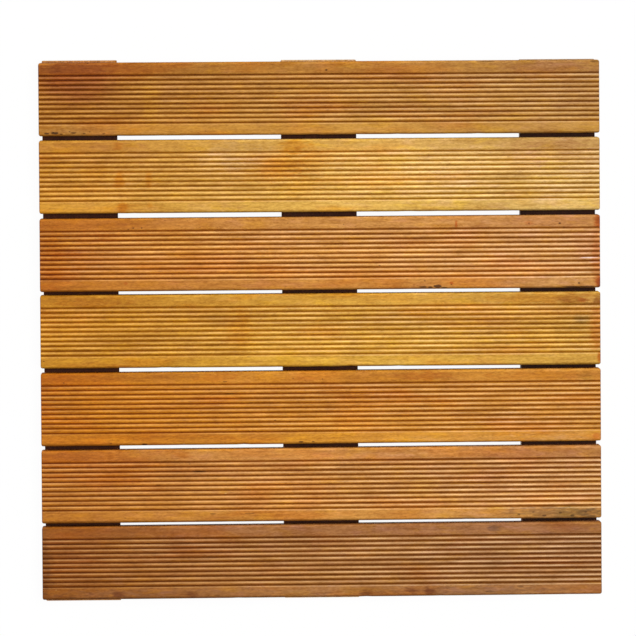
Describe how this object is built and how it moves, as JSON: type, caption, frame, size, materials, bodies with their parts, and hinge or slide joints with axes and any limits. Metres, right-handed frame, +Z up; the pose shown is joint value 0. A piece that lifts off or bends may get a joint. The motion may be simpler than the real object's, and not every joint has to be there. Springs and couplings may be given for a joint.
{
  "type": "wooden deck tile",
  "caption": "Square outdoor deck tile: ribbed hardwood slats laid side by side with narrow drainage gaps, screwed from below to cross bearers.",
  "frame": {"origin": "centre of the tile's footprint, on the ground under the bearers", "axes": "+X along the slats towards the right of the picture, +Y across the slats towards the top of the picture, +Z up, out of the ribbed walking face"},
  "size_m": [0.5, 0.4832, 0.038],
  "materials": {
    "slat_wood": "planed and ribbed hardwood, dry and unvarnished, golden to red-brown",
    "bearer_wood": "planed hardwood, dry, darker red-brown",
    "screw_steel": "plain stainless, slightly dull"
  },
  "bodies": {
    "root": {"slat_1": "slat_wood", "slat_2": "slat_wood", "slat_3": "slat_wood", "slat_4": "slat_wood", "slat_5": "slat_wood", "slat_6": "slat_wood", "slat_7": "slat_wood", "bearer_left": "bearer_wood", "bearer_middle": "bearer_wood", "bearer_right": "bearer_wood", "screws_left": "screw_steel", "screws_middle": "screw_steel", "screws_right": "screw_steel"}
  },
  "joints": []
}
